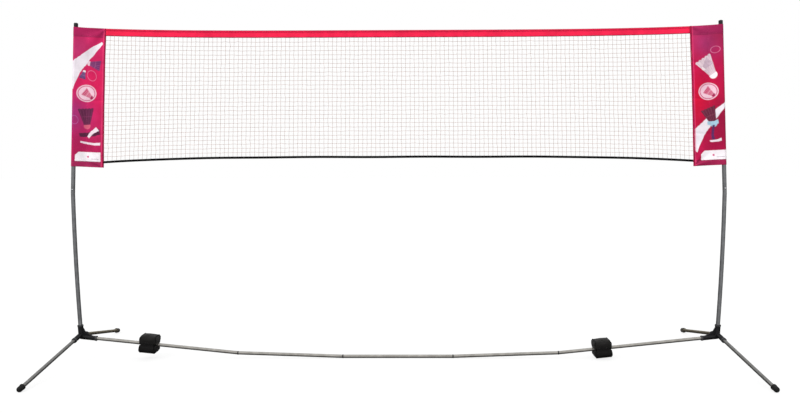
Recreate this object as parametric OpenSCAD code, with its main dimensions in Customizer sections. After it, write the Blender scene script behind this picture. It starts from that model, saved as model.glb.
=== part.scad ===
// Portable freestanding badminton net: two plug-in posts, a sagging floor bar,
// four legs, a net with two fabric sleeves and two wrap-round weights on the bar.
// Millimetres. X runs along the net, Y towards the far side, Z up from the floor.
// The origin is on the floor, midway between the posts.

/* [Overall] */
// Distance between the tops of the two posts, axis to axis
span = 3000; // [2800:10:3200]
// Height of the post tops above the floor
height = 1590; // [1560:5:1620]

/* [Posts] */
// Outside diameter of a post tube
post_d = 19; // [18:0.5:20]
// Wall thickness of every tube
tube_wall = 1.2; // [1:0.1:1.4]
// Length of an upper post, from the seam to the top of its cap
upper_len = 800; // [780:5:810]
// Length of a lower post, from its foot in the socket to the seam
lower_len = 672; // [665:1:680]
// Inward lean of the upper post, in degrees
upper_lean = 2.7; // [2:0.1:3.2]
// Outward lean of the lower post at the seam, in degrees
seam_lean = 0.2; // [0:0.1:0.6]
// Outward lean of the lower post at its foot, in degrees
foot_lean = 3.1; // [2.6:0.1:3.6]
// Exposed length of the post cap
cap_len = 21; // [18:1:24]

/* [Floor bar] */
// Outside diameter of the floor bar and of the legs
bar_d = 16; // [15:0.5:17]
// Length of the middle section of the floor bar
bar_mid_len = 526; // [500:2:540]
// Length of each section beside the middle one
bar_inner_len = 503; // [490:1:515]
// Rise of the sections beside the middle one, in degrees
inner_rise = 1.93; // [1.6:0.01:2.2]
// Rise of the end sections, in degrees
end_rise = 5.92; // [5.6:0.01:6.2]
// Gap between the middle section and the floor
bar_clearance = 0.5; // [0.3:0.1:2]

/* [Legs] */
// Horizontal distance from the post to the middle of a foot
leg_reach = 548; // [500:2:580]
// Height at which the leg axes meet the post axis
leg_root_z = 115; // [112:1:118]
// Outward splay of the legs in plan, in degrees
leg_splay = 3; // [0:0.5:5]
// Outside diameter of a rubber foot
foot_d = 24; // [22:1:28]

/* [Net] */
// Height of the net's top edge at mid span
net_top = 1550; // [1540:1:1555]
// Height of the net's bottom edge at mid span
net_bottom = 956; // [940:1:980]
// How far the top edge rises from mid span to the sleeves
top_rise = 12; // [8:1:16]
// How far the bottom edge drops from mid span to the sleeves
bottom_drop = 22; // [0:1:30]
// Height of the top tape
tape_h = 34; // [28:1:40]
// Height of the bottom cord's band
cord_h = 9; // [7:1:10]

/* [Sleeves] */
// Height of a fabric sleeve
sleeve_h = 650; // [630:5:660]
// Width of a sleeve from the post axis to its inner edge
sleeve_w = 142; // [120:1:160]
// Thickness of one layer of sleeve fabric
cloth = 0.9; // [0.8:0.1:1]

/* [Weights] */
// Distance of the left weight from mid span
weight_left_x = 1190; // [1100:5:1300]
// Distance of the right weight from mid span
weight_right_x = 972; // [965:1:1200]
// Length of a weight along the bar
weight_len = 90; // [70:1:100]
// Depth of a weight across the bar
weight_w = 78; // [70:1:84]
// Height of the upper pad above the bar axis
pad_up = 46; // [38:1:50]
// Depth of the lower pad below the bar axis
pad_down = 42; // [38:1:42]

/* [Hidden] */

$fn = 48;
SMOOTH = 64;
fit = 0.1;               // radial clearance of every tube in its socket

// Post line, for the right-hand side; the left side is its mirror image.
top_point = [span / 2, 0, height];
seam_point = top_point + upper_len * [sin(upper_lean), 0, -cos(upper_lean)];
bow_r = lower_len / ((foot_lean - seam_lean) * PI / 180);
bow_centre = seam_point - bow_r * [cos(seam_lean), 0, -sin(seam_lean)];
foot_point = bow_centre + bow_r * [cos(foot_lean), 0, -sin(foot_lean)];
bow_steps = 16;
bore_d = post_d - 2 * tube_wall;
spigot_half = 40;
spigot_lean = (seam_lean - upper_lean) / 2;
// The spigot is straight, so its play in the tubes takes up the bend at the seam.
spigot_play = spigot_half * tan(abs(seam_lean + upper_lean) / 2) + 0.1;
spigot_d = bore_d - 2 * spigot_play;
spigot_wall = 1.2;
seam_gap = 0.6;

// Floor bar line
bar_z = bar_d / 2 + bar_clearance;
inner_joint = [bar_mid_len / 2, 0, bar_z];
outer_joint = inner_joint + bar_inner_len * [cos(inner_rise), 0, sin(inner_rise)];
hub_x = foot_point[0];
hub = [hub_x, 0, outer_joint[2] + (hub_x - outer_joint[0]) * tan(end_rise)];
pin_half = 30;
pin_ring = 5;
pin_ring_d = bar_d + 1.4;
pin_d = bar_d - 2 * tube_wall - 2 * fit;
end_gap = 0.3;           // between a bar section and the ring beside it
bar_cut = pin_ring / 2 + end_gap;

// Base connector
socket_wall = 3.2;
collar_wall = 4.3;
collar_len = 8;
post_socket = 42;        // depth of the post socket
bar_socket = 50;         // depth of the bar socket
bar_mouth = 77;          // from the hub to the mouth of the bar socket
leg_socket = 50;         // depth of a leg socket
leg_mouth = 75;          // from the hub to the mouth of a leg socket
web_t = 7;

// Feet
foot_grip = 24;          // length of leg inside the rubber foot
foot_r = foot_d / 2;

// Snap buttons
button_d = 8;
button_up = 18;          // above the seam
button_out = 3;          // proud of the tube
button_flange = 1;
flange_y = 3;            // front face of the flange, ahead of the post axis
flange_rim = 0.6;        // how far the flange reaches past the button
leaf_t = 0.6;
leaf_w = 5;
leaf_len = 34;
leaf_back = 1.8;         // rear face of the clip, behind the post axis

// Sleeves
pocket_r = 11;
pocket_shift = 1;        // the taut sleeve pulls its pocket inward on the post
pocket_tail = 60;        // where the pocket closes to a point
pocket_open = 80;        // half angle of the mouth that tapers to the panel
pocket_steps = 40;
panel_t = 3.2;
sleeve_corner = top_point + cap_len * [sin(upper_lean), 0, -cos(upper_lean)]
    - sleeve_w * [cos(upper_lean), 0, sin(upper_lean)];

// Net
band_t = 6;
mesh_t = 2;
tape_cord_h = 4;
tape_cord_drop = 3;      // below the tape's top edge
cord_room = 0.4;
curve_steps = 32;
curve_power = 4;

// Weights
pad_gap = 0.4;
pad_corner = 14;
channel_r = bar_d / 2 + 0.6;
core_t = 14;
core_margin = 14;
core_up = 18;            // from the bar axis to the near face of a core
core_room = 0.2;
flap_t = 2.2;
flap_len = 62;
flap_room = 0.6;
flap_up = 10;
flap_down = 26;

// Places children so that their +Z axis runs from one point towards another.
module along(from, to) {
    d = to - from;
    translate(from)
        rotate([0, acos(d[2] / norm(d)), atan2(d[1], d[0])])
            children();
}

// The right-hand side as drawn, or its mirror image on the left.
module side(right) {
    mirror([right ? 0 : 1, 0, 0]) children();
}

module tube(d, h) {
    difference() {
        cylinder(d = d, h = h);
        translate([0, 0, -1]) cylinder(d = d - 2 * tube_wall, h = h + 2);
    }
}

// Frame whose +Z axis runs down the upper post from the top of its cap.
module down_post() {
    translate(top_point) rotate([0, 180 - upper_lean, 0]) children();
}

// ---------- Base connector and legs ----------

function foot_centre(front) = [
    hub_x + leg_reach * sin(leg_splay),
    (front ? -1 : 1) * leg_reach * cos(leg_splay),
    foot_r
];
leg_root = [hub_x, 0, leg_root_z];
leg_len = norm(foot_centre(true) - leg_root);

module leg_axis(front) {
    along(leg_root, foot_centre(front)) children();
}

module post_socket_axis() {
    translate(foot_point) rotate([0, foot_lean, 0]) children();
}

module socket(bore_d, mouth) {
    cylinder(d = bore_d + 2 * socket_wall, h = mouth, $fn = SMOOTH);
    translate([0, 0, mouth - collar_len])
        cylinder(d = bore_d + 2 * collar_wall, h = collar_len, $fn = SMOOTH);
}

module bore(bore_d, mouth, depth) {
    translate([0, 0, mouth - depth])
        cylinder(d = bore_d + 2 * fit, h = depth + 1, $fn = SMOOTH);
}

module connector_web() {
    translate([0, web_t / 2, 0])
        rotate([90, 0, 0])
            linear_extrude(web_t)
                polygon([
                    [hub_x - 4, hub[2]],
                    [hub_x - bar_mouth + collar_len, hub[2] - bar_mouth * tan(end_rise) + bar_d / 2],
                    [hub_x - 40, hub[2] + 12],
                    [hub_x - 20, hub[2] + 28],
                    [foot_point[0] - post_d / 2 - 1, foot_point[2] + post_socket - collar_len - 4],
                    [hub_x + 2, foot_point[2]]
                ]);
}

module base_connector() {
    drop = foot_point[2] - hub[2];
    color("#26272a")
        difference() {
            union() {
                post_socket_axis() translate([0, 0, -drop]) socket(post_d, post_socket + drop);
                along(hub, outer_joint) socket(bar_d, bar_mouth);
                for (front = [true, false])
                    leg_axis(front) socket(bar_d, leg_mouth);
                translate((hub + leg_root) / 2) sphere(d = 31);
                connector_web();
            }
            post_socket_axis() bore(post_d, post_socket, post_socket);
            along(hub, outer_joint) bore(bar_d, bar_mouth, bar_socket);
            for (front = [true, false])
                leg_axis(front) bore(bar_d, leg_mouth, leg_socket);
        }
}

module leg(front) {
    start = leg_mouth - leg_socket;
    color("#a9abae")
        leg_axis(front)
            translate([0, 0, start]) tube(bar_d, leg_len - start);
}

module foot(front) {
    collar = 4;
    color("#1b1b1c")
        leg_axis(front)
            difference() {
                union() {
                    translate([0, 0, leg_len]) sphere(r = foot_r, $fn = SMOOTH);
                    translate([0, 0, leg_len - foot_grip]) cylinder(r = foot_r, h = foot_grip, $fn = SMOOTH);
                    translate([0, 0, leg_len - foot_grip]) cylinder(r = foot_r + 1, h = collar, $fn = SMOOTH);
                }
                translate([0, 0, leg_len - foot_grip - 1]) cylinder(d = bar_d + fit, h = foot_grip + 1);
            }
}

// ---------- Posts ----------

module lower_post() {
    color("#a3a5a8")
        translate(bow_centre)
            rotate([90, 0, 0])
                rotate_extrude(
                    angle = foot_lean - seam_lean,
                    start = -foot_lean,
                    $fn = ceil(bow_steps * 360 / (foot_lean - seam_lean))
                )
                    translate([bow_r, 0])
                        difference() {
                            circle(d = post_d, $fn = SMOOTH);
                            circle(d = post_d - 2 * tube_wall, $fn = SMOOTH);
                        }
}

module button_hole() {
    translate([0, 0, upper_len - button_up])
        rotate([90, 0, 0])
            cylinder(d = button_d + 0.4, h = post_d);
}

module upper_post() {
    color("#a3a5a8")
        down_post()
            difference() {
                translate([0, 0, cap_len]) tube(post_d, upper_len - cap_len - seam_gap);
                button_hole();
            }
}

module post_spigot() {
    color("#8d8f92")
        difference() {
            translate(seam_point) rotate([0, spigot_lean, 0])
                difference() {
                    cylinder(d = spigot_d, h = 2 * spigot_half, center = true);
                    cylinder(d = spigot_d - 2 * spigot_wall, h = 2 * spigot_half + 2, center = true);
                }
            down_post() button_hole();
        }
}

module snap_button() {
    reach = post_d / 2 + button_out;
    dome_r = 5.5;
    color("#c9ccd0")
        down_post()
            translate([0, 0, upper_len - button_up])
                rotate([90, 0, 0]) {
                    intersection() {
                        translate([0, 0, flange_y - button_flange]) cylinder(d = button_d, h = reach);
                        translate([0, 0, reach - dome_r]) sphere(r = dome_r, $fn = SMOOTH);
                    }
                    translate([0, 0, flange_y - button_flange])
                        cylinder(d = button_d, h = reach - dome_r - flange_y + button_flange + 1);
                    translate([0, 0, flange_y - button_flange])
                        cylinder(d = button_d + 2 * flange_rim, h = button_flange);
                }
}

// Two leaves that meet in a fold. The front one is riveted to the button.
module button_spring() {
    front_y = button_flange - flange_y;
    back_y = leaf_back;
    color("#8a8c8f")
        down_post()
            translate([-leaf_w / 2, 0, upper_len - button_up - button_d / 2])
                rotate([90, 0, 90])
                    linear_extrude(leaf_w)
                        polygon([
                            [front_y, 0],
                            [front_y + leaf_t, 0],
                            [front_y + leaf_t, button_d],
                            [back_y - leaf_t, leaf_len - 4],
                            [back_y - leaf_t, button_d],
                            [back_y, button_d],
                            [back_y, leaf_len],
                            [back_y - 2 * leaf_t, leaf_len],
                            [front_y, button_d + 2]
                        ]);
}

module post_cap() {
    stem = 25;
    dome_r = 16;
    head_d = post_d + 0.4;
    color("#202124")
        down_post() {
            intersection() {
                cylinder(d = head_d, h = cap_len, $fn = SMOOTH);
                translate([0, 0, dome_r]) sphere(r = dome_r, $fn = SMOOTH);
            }
            translate([0, 0, cap_len]) cylinder(d = bore_d - 2 * fit, h = stem);
        }
}

// ---------- Floor bar ----------

module bar_end() {
    color("#b4b6b9")
        along(outer_joint, hub)
            translate([0, 0, bar_cut])
                tube(bar_d, norm(hub - outer_joint) - bar_cut - bar_mouth + bar_socket);
}

module bar_inner() {
    color("#b4b6b9")
        along(inner_joint, outer_joint)
            translate([0, 0, bar_cut]) tube(bar_d, bar_inner_len - 2 * bar_cut);
}

module bar_middle() {
    color("#b4b6b9")
        translate([bar_cut - bar_mid_len / 2, 0, bar_z])
            rotate([0, 90, 0]) tube(bar_d, bar_mid_len - 2 * bar_cut);
}

function direction(from, to) = (to - from) / norm(to - from);

// A plug that joins two sections, with a ring between their ends.
module bar_pin(joint, before, after) {
    inside = 1;
    color("#2a2b2d") {
        along(joint, joint + direction(before, joint) + direction(joint, after))
            cylinder(d = pin_ring_d, h = pin_ring, center = true);
        for (next = [before, after])
            along(joint, next) translate([0, 0, inside]) cylinder(d = pin_d, h = pin_half - inside);
    }
}

module bar_pin_outer() {
    bar_pin(outer_joint, inner_joint, hub);
}

module bar_pin_inner() {
    bar_pin(inner_joint, [0, 0, bar_z], outer_joint);
}

// ---------- Net ----------

// Points round the pocket, from one side of its open mouth to the other.
function pocket_arc(r) = [
    for (i = [0:pocket_steps])
        let (a = pocket_open + (360 - 2 * pocket_open) * i / pocket_steps)
        [pocket_shift + r * cos(a), r * sin(a)]
];

module sleeve() {
    color("#c81e50")
        down_post()
            translate([0, 0, cap_len])
                linear_extrude(sleeve_h)
                    difference() {
                        polygon(concat(pocket_arc(pocket_r + cloth), [
                            [pocket_tail, -panel_t / 2],
                            [sleeve_w, -panel_t / 2],
                            [sleeve_w, panel_t / 2],
                            [pocket_tail, panel_t / 2]
                        ]));
                        polygon(concat(pocket_arc(pocket_r), [[pocket_tail - panel_t, 0]]));
                    }
}

// X of the sleeve's inner edge at height z, and a height that bends towards the sleeves.
function edge_x(z) = sleeve_corner[0] + (sleeve_corner[2] - z) * tan(upper_lean);
function bent(z, rise, t) = z + rise * pow(abs(t), curve_power);

// One edge of a band, as points from one sleeve to the other.
function edge_line(z, rise) = [
    for (i = [-curve_steps:curve_steps])
        let (t = i / curve_steps)
        [t * edge_x(z + rise), bent(z, rise, t)]
];
function reversed(list) = [for (i = [len(list) - 1:-1:0]) list[i]];

// A flat band between two bent edges, centred on the plane of the net.
module band(top, bottom, thickness) {
    translate([0, thickness / 2, 0])
        rotate([90, 0, 0])
            linear_extrude(thickness)
                polygon(concat(top, reversed(bottom)));
}

module top_tape() {
    drop = tape_cord_drop;
    color("#f01040")
        difference() {
            band(edge_line(net_top, top_rise), edge_line(net_top - tape_h, top_rise), band_t);
            band(
                edge_line(net_top - drop, top_rise),
                edge_line(net_top - drop - tape_cord_h - 2 * cord_room, top_rise),
                tape_cord_h + 2 * cord_room
            );
        }
}

module tape_cord() {
    z = net_top - tape_cord_drop - cord_room;
    color("#e8e6e0")
        band(edge_line(z, top_rise), edge_line(z - tape_cord_h, top_rise), tape_cord_h);
}

module net_mesh() {
    color("#c9c2b8")
        band(
            edge_line(net_top - tape_h, top_rise),
            edge_line(net_bottom + cord_h, -bottom_drop),
            mesh_t
        );
}

module bottom_cord() {
    color("#18181a")
        band(
            edge_line(net_bottom + cord_h, -bottom_drop),
            edge_line(net_bottom, -bottom_drop),
            band_t
        );
}

// ---------- Weights ----------

// Extrudes a cross-section, drawn with Y across and Z up, along the end section of the bar.
module on_bar(x, length) {
    along(outer_joint, hub)
        translate([0, 0, (x - outer_joint[0]) / cos(end_rise) - length / 2])
            rotate([0, 0, 90])
                linear_extrude(length) children();
}

module pad_outline(h) {
    half = weight_w / 2;
    difference() {
        union() {
            translate([-half, pad_gap]) square([weight_w, h - pad_corner - pad_gap]);
            translate([pad_corner - half, pad_gap]) square([weight_w - 2 * pad_corner, h - pad_gap]);
            for (s = [-1, 1])
                translate([s * (half - pad_corner), h - pad_corner]) circle(r = pad_corner);
        }
        circle(r = channel_r);
    }
}

module core_outline(room) {
    w = weight_w - 2 * core_margin;
    translate([-w / 2 - room, core_up - room]) square([w + 2 * room, core_t + 2 * room]);
}

module weight_pad(x, h, upper) {
    flip = upper ? 0 : 1;
    color(upper ? "#2b2c2e" : "#1d1e20")
        difference() {
            on_bar(x, weight_len) mirror([0, flip]) pad_outline(h);
            on_bar(x, weight_len - 2 * core_margin + 2 * core_room)
                mirror([0, flip]) core_outline(core_room);
        }
}

module weight_core(x, upper) {
    color("#55504c")
        on_bar(x, weight_len - 2 * core_margin)
            mirror([0, upper ? 0 : 1]) core_outline(0);
}

module weight_flap(x) {
    front = -weight_w / 2;
    back_face = front - flap_room;
    color("#242527")
        on_bar(x, flap_len)
            polygon([
                [front, flap_up],
                [back_face - flap_t, flap_up],
                [back_face - flap_t, -flap_down],
                [back_face, -flap_down],
                [back_face, 2],
                [front, 2]
            ]);
}

side(false) base_connector();  // base_connector_left
side(true) base_connector();  // base_connector_right
side(false) leg(true);  // front_leg_left
side(true) leg(true);  // front_leg_right
side(false) leg(false);  // rear_leg_left
side(true) leg(false);  // rear_leg_right
side(false) foot(true);  // front_foot_left
side(true) foot(true);  // front_foot_right
side(false) foot(false);  // rear_foot_left
side(true) foot(false);  // rear_foot_right
side(false) lower_post();  // lower_post_left
side(true) lower_post();  // lower_post_right
side(false) upper_post();  // upper_post_left
side(true) upper_post();  // upper_post_right
side(false) post_spigot();  // post_spigot_left
side(true) post_spigot();  // post_spigot_right
side(false) snap_button();  // snap_button_left
side(true) snap_button();  // snap_button_right
side(false) button_spring();  // button_spring_left
side(true) button_spring();  // button_spring_right
side(false) post_cap();  // post_cap_left
side(true) post_cap();  // post_cap_right
side(false) bar_end();  // bar_end_left
side(true) bar_end();  // bar_end_right
side(false) bar_inner();  // bar_inner_left
side(true) bar_inner();  // bar_inner_right
bar_middle();
side(false) bar_pin_outer();  // bar_pin_outer_left
side(false) bar_pin_inner();  // bar_pin_inner_left
side(true) bar_pin_inner();  // bar_pin_inner_right
side(true) bar_pin_outer();  // bar_pin_outer_right
side(false) sleeve();  // sleeve_left
side(true) sleeve();  // sleeve_right
top_tape();
tape_cord();
net_mesh();
bottom_cord();
side(false) weight_pad(weight_left_x, pad_up, true);  // weight_upper_pad_left
side(false) weight_pad(weight_left_x, pad_down, false);  // weight_lower_pad_left
side(false) weight_flap(weight_left_x);  // weight_flap_left
side(false) weight_core(weight_left_x, true);  // weight_upper_core_left
side(false) weight_core(weight_left_x, false);  // weight_lower_core_left
side(true) weight_pad(weight_right_x, pad_up, true);  // weight_upper_pad_right
side(true) weight_pad(weight_right_x, pad_down, false);  // weight_lower_pad_right
side(true) weight_flap(weight_right_x);  // weight_flap_right
side(true) weight_core(weight_right_x, true);  // weight_upper_core_right
side(true) weight_core(weight_right_x, false);  // weight_lower_core_right
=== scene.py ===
import math

import bmesh
import bpy
import numpy as np
from mathutils import Matrix, Vector
from mathutils.bvhtree import BVHTree


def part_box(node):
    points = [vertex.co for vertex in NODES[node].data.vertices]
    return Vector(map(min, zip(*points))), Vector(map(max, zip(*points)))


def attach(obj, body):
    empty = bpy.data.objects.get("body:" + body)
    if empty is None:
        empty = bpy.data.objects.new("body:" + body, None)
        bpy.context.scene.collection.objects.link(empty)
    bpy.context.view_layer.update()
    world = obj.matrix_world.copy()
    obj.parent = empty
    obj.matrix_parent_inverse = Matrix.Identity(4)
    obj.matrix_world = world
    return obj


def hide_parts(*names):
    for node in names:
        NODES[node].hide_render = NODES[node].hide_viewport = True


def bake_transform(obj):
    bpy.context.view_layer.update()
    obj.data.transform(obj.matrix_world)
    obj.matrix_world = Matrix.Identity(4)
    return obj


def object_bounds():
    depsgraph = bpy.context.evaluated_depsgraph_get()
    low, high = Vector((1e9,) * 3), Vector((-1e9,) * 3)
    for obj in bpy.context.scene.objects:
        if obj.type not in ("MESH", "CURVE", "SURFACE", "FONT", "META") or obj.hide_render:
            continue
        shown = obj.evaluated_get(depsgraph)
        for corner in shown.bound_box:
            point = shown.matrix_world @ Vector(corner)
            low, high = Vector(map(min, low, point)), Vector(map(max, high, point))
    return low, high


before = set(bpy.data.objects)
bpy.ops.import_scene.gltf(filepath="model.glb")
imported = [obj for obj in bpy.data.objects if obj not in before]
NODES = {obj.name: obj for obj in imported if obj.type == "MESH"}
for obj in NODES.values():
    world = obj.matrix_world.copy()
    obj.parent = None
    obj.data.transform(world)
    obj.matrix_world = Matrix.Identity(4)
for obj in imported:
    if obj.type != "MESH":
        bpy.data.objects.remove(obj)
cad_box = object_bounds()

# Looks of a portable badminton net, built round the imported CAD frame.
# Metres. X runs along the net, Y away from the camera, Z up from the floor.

MM = 0.001
SIDES = {"left": -1, "right": 1}
BACK = np.array([0.0, 1.0, 0.0])
random = np.random.default_rng(11)


# ---------- Places, measured on the CAD nodes ----------

def node_points(node):
    return np.array([v.co for v in NODES[node].data.vertices], float)


def tube_ends(node):
    """Centres of the two ends of a straight tube, lower end first."""
    points = node_points(node)
    axis = np.linalg.svd(points - points.mean(axis=0), full_matrices=False)[2][0]
    axis *= 1 if axis[2] > 0 else -1
    along = points @ axis
    low = points[along < along.min() + MM].mean(axis=0)
    high = points[along > along.max() - MM].mean(axis=0)
    return low, high


def reach(node, origin, direction):
    """How far a node reaches from origin along a direction, as (least, most)."""
    along = (node_points(node) - origin) @ direction
    return along.min(), along.max()


def unit(vector):
    return vector / np.linalg.norm(vector)


def step(low, high, value):
    """Rises smoothly from 0 at low to 1 at high."""
    t = np.clip((value - low) / (high - low), 0, 1)
    return t * t * (3 - 2 * t)


def bell(value, width):
    return np.exp(-(value / width) ** 2)


def add_object(name, data):
    thing = bpy.data.objects.new(name, data)
    bpy.context.scene.collection.objects.link(thing)
    return thing


# ---------- Camera, light and floor ----------

LENS = 35.32                  # mm
SENSOR_WIDTH = 36             # mm
CAMERA_SIDE = 0.0496          # from mid span, along the net
CAMERA_DISTANCE = 3.7         # from the plane of the net
CAMERA_HEIGHT = 0.963
CAMERA_YAW = -0.0102
CAMERA_PITCH = -0.0639
CAMERA_ROLL = -0.0027


def make_camera():
    data = bpy.data.cameras.new("camera")
    data.lens = LENS
    data.sensor_width = SENSOR_WIDTH
    camera = add_object("camera", data)
    forward = Vector((
        math.sin(CAMERA_YAW) * math.cos(CAMERA_PITCH),
        math.cos(CAMERA_YAW) * math.cos(CAMERA_PITCH),
        math.sin(CAMERA_PITCH),
    ))
    level = forward.cross(Vector((0, 0, 1))).normalized()
    upright = level.cross(forward)
    right = level * math.cos(CAMERA_ROLL) + upright * math.sin(CAMERA_ROLL)
    up = upright * math.cos(CAMERA_ROLL) - level * math.sin(CAMERA_ROLL)
    camera.matrix_world = Matrix((right, up, -forward)).transposed().to_4x4()
    camera.location = (CAMERA_SIDE, -CAMERA_DISTANCE, CAMERA_HEIGHT)
    bpy.context.scene.camera = camera


def connect(tree, node, inputs):
    """Sets inputs of a shader node, each to a value or to another node's output."""
    for name, value in inputs.items():
        if isinstance(value, bpy.types.NodeSocket):
            tree.links.new(value, node.inputs[name])
        else:
            node.inputs[name].default_value = value


def add_node(tree, kind, inputs=None, **settings):
    node = tree.nodes.new(kind)
    for name, value in settings.items():
        setattr(node, name, value)
    connect(tree, node, inputs or {})
    return node


def calculated(tree, operation, *values):
    inputs = dict(enumerate(values))
    return add_node(tree, "ShaderNodeMath", inputs, operation=operation).outputs["Value"]


def set_ramp(ramp, stops):
    """Sets a colour ramp's stops from pairs of a position and a grey or a colour."""
    elements = ramp.color_ramp.elements
    while len(elements) < len(stops):
        elements.new(0.5)
    for element, (position, tone) in zip(elements, stops):
        element.position = position
        element.color = (*tone, 1) if hasattr(tone, "__len__") else (tone, tone, tone, 1)


KEY_FROM = (-0.55, -0.66, 0.51)
PANEL_FROM = Vector((0.0, -0.35, 0.94))     # where the big soft panel hangs, above and a little in front
# How bright the surround is, from straight away from the panel to its middle.
STUDIO = [
    (0.0, 0.03), (0.25, 0.03), (0.34, 0.12), (0.42, 0.3),
    (0.47, 0.4), (0.58, 0.58), (0.75, 1.0), (1.0, 1.15),
]


def make_world():
    """A white surround. What lights the object is softer: bright at the panel, dim below and beside."""
    world = bpy.data.worlds.new("studio")
    bpy.context.scene.world = world
    world.use_nodes = True
    tree = world.node_tree
    tree.nodes.clear()
    direction = add_node(tree, "ShaderNodeTexCoord").outputs["Generated"]
    towards = {0: direction, 1: PANEL_FROM.normalized()}
    facing = add_node(tree, "ShaderNodeVectorMath", towards, operation="DOT_PRODUCT")
    share = add_node(tree, "ShaderNodeMapRange", {"Value": facing.outputs["Value"], "From Min": -1.0})
    ramp = add_node(tree, "ShaderNodeValToRGB", {"Fac": share.outputs["Result"]})
    set_ramp(ramp, STUDIO)
    light = add_node(tree, "ShaderNodeBackground", {"Color": ramp.outputs["Color"], "Strength": 1.0})
    white = add_node(tree, "ShaderNodeBackground", {"Color": (1, 1, 1, 1), "Strength": 1.0})
    seen = add_node(tree, "ShaderNodeLightPath").outputs["Is Camera Ray"]
    mixed = add_node(tree, "ShaderNodeMixShader", {0: seen, 1: light.outputs[0], 2: white.outputs[0]})
    add_node(tree, "ShaderNodeOutputWorld", {"Surface": mixed.outputs[0]})


def add_sun(name, direction, strength, softness):
    """A sun that shines from a direction, and covers an angle in degrees. Metal reflects the studio only."""
    data = bpy.data.lights.new(name, "SUN")
    data.energy = strength
    data.angle = math.radians(softness)
    sun = add_object(name, data)
    sun.rotation_mode = "QUATERNION"
    sun.rotation_quaternion = Vector(direction).to_track_quat("Z", "Y")
    sun.visible_glossy = False


FLOOR_HALF = 30               # half the floor's side
FLOOR_TONE = (0.93, 0.93, 0.93, 1)
FLOOR_GLOW = 0.93             # with its lit share, this makes the floor just white
FLOOR_SHADE = 0.12            # the share of the floor's tone that takes light and shadow


def make_floor():
    """A floor at the part's foot that looks white, takes a faint shadow, and isn't seen in metal."""
    mesh = bpy.data.meshes.new("floor")
    corners = [(FLOOR_HALF * x, FLOOR_HALF * y, 0) for x, y in ((-1, -1), (1, -1), (1, 1), (-1, 1))]
    mesh.from_pydata(corners, [], [(0, 1, 2, 3)])
    floor = add_object("floor", mesh)
    floor.location.z = cad_box[0].z
    material, tree, shader = new_material("pale_floor")
    connect(tree, shader, {"Base Color": FLOOR_TONE, "Roughness": 0.9, "Specular IOR Level": 0.0})
    glow = add_node(tree, "ShaderNodeEmission", {"Color": (1, 1, 1, 1), "Strength": FLOOR_GLOW})
    inputs = {0: FLOOR_SHADE, 1: glow.outputs[0], 2: shader.outputs[0]}
    mixed = add_node(tree, "ShaderNodeMixShader", inputs).outputs[0]
    connect(tree, tree.nodes["Material Output"], {"Surface": mixed})
    mesh.materials.append(material)
    floor.visible_glossy = False
    floor.visible_diffuse = False


def make_studio():
    make_world()
    add_sun("key", KEY_FROM, 2.45, 50)
    add_sun("top", (0.1, 0.2, 1.0), 1.6, 80)
    add_sun("back_fill", (0.5, 0.8, 0.35), 1.2, 80)
    make_floor()
    bpy.context.scene.view_settings.view_transform = "Standard"


# ---------- Materials ----------

def ink(code):
    """A linear colour from an sRGB hex code."""
    parts = [int(code[i:i + 2], 16) / 255 for i in (1, 3, 5)]
    return np.array([p / 12.92 if p < 0.04045 else ((p + 0.055) / 1.055) ** 2.4 for p in parts])


def new_material(name):
    material = bpy.data.materials.new(name)
    material.use_nodes = True
    tree = material.node_tree
    return material, tree, tree.nodes["Principled BSDF"]


def mix_colours(tree, factor, a, b, mode="MIX"):
    """The colour between two others. The sockets of the Mix node's colours are numbers 6 and 7."""
    inputs = {0: factor, 6: a, 7: b}
    return add_node(tree, "ShaderNodeMix", inputs, data_type="RGBA", blend_type=mode).outputs[2]


def spread(tree, value, low, high, start=0.0, end=1.0):
    inputs = {"Value": value, "From Min": start, "From Max": end, "To Min": low, "To Max": high}
    return add_node(tree, "ShaderNodeMapRange", inputs).outputs["Result"]


def noise(tree, place, scale, detail=4.0, roughness=0.55):
    inputs = {"Vector": place, "Scale": scale, "Detail": detail, "Roughness": roughness}
    return add_node(tree, "ShaderNodeTexNoise", inputs).outputs["Fac"]


def raised(tree, height, strength, distance):
    inputs = {"Height": height, "Strength": strength, "Distance": distance}
    return add_node(tree, "ShaderNodeBump", inputs).outputs["Normal"]


def rgba(code):
    return (*ink(code), 1)


def hard_finish(name, light, dark, rough, grain, metallic=0.0, bump=0.05, patch=30.0, worn=None):
    """A hard surface of two mottled colours, with a grain in its colour, roughness and height.

    grain is the number of grains to a metre along X, Y and Z, so low numbers draw out streaks.
    worn is the colour that shows where edges have rubbed.
    """
    material, tree, shader = new_material(name)
    place = add_node(tree, "ShaderNodeTexCoord").outputs["Object"]
    drawn = add_node(tree, "ShaderNodeMapping", {"Vector": place, "Scale": grain}).outputs["Vector"]
    fine = noise(tree, drawn, 1.0, 6.0, 0.65)
    patches = noise(tree, place, patch, 5.0, 0.6)
    both = calculated(tree, "MULTIPLY_ADD", fine, patches, 0.1)
    share = spread(tree, both, 0.0, 1.0, 0.22, 0.5)
    colour = mix_colours(tree, share, rgba(dark), rgba(light))
    if worn:
        edge = add_node(tree, "ShaderNodeNewGeometry").outputs["Pointiness"]
        rubbed = spread(tree, edge, 0.0, 1.0, 0.53, 0.62)
        colour = mix_colours(tree, calculated(tree, "MULTIPLY", rubbed, patches), colour, rgba(worn))
    connect(tree, shader, {
        "Base Color": colour,
        "Roughness": spread(tree, fine, rough * 0.75, rough * 1.3, 0.25, 0.75),
        "Metallic": metallic,
        "Specular IOR Level": 0.5 if metallic else 0.2,
        "Normal": raised(tree, fine, bump, 0.2 * MM),
    })
    return material


WAVES_PER_METRE = 20 / (2 * math.pi)       # of a Wave Texture whose scale is 1


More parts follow.
